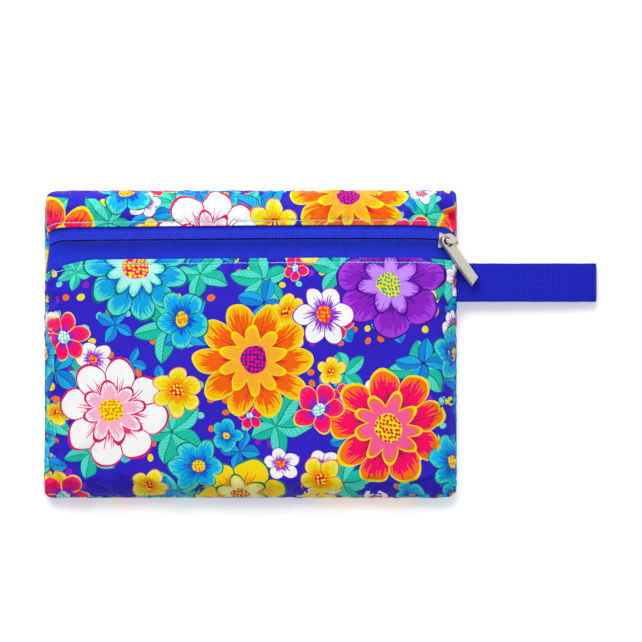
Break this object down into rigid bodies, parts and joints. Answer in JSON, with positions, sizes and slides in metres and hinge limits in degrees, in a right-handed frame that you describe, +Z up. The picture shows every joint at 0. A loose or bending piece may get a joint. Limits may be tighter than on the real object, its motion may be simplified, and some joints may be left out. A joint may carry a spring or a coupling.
{
  "type": "foldable duffel bag, stowed in its zip pouch",
  "caption": "Foldable nylon duffel bag stowed flat in its own floral zip pouch, with a blue zip, a nickel pull and a blue webbing loop at the side.",
  "frame": {"origin": "middle of the pouch's flat back, on the surface that it lies on", "axes": "+X to the right, toward the strap loop; +Y toward the zipped top edge; +Z up, out of the front"},
  "size_m": [0.3481, 0.194, 0.0261],
  "materials": {
    "printed_cloth": "satin printed nylon",
    "stowed_cloth": "satin printed nylon",
    "zip_tape": "matt woven tape",
    "zip_coil": "smooth moulded coil",
    "nickel": "polished nickel plate",
    "webbing": "ribbed woven webbing"
  },
  "bodies": {
    "bag": {"front_panel": "printed_cloth", "top_panel": "printed_cloth", "back_panel": "printed_cloth", "folded_body": "stowed_cloth", "zip_tape_upper": "zip_tape", "zip_tape_lower": "zip_tape", "zip_coil": "zip_coil", "zip_slider": "nickel", "strap_loop": "webbing"},
    "pull": {"pull_tab": "nickel"}
  },
  "joints": [
    {"name": "pull_swivel", "type": "hinge", "parent": "bag", "child": "pull", "pos_m": [0.12264, 0.06494, 0.0187], "axis": [0.2257, -0.0256, 0.9739], "range_deg": [-250, 5]}
  ]
}
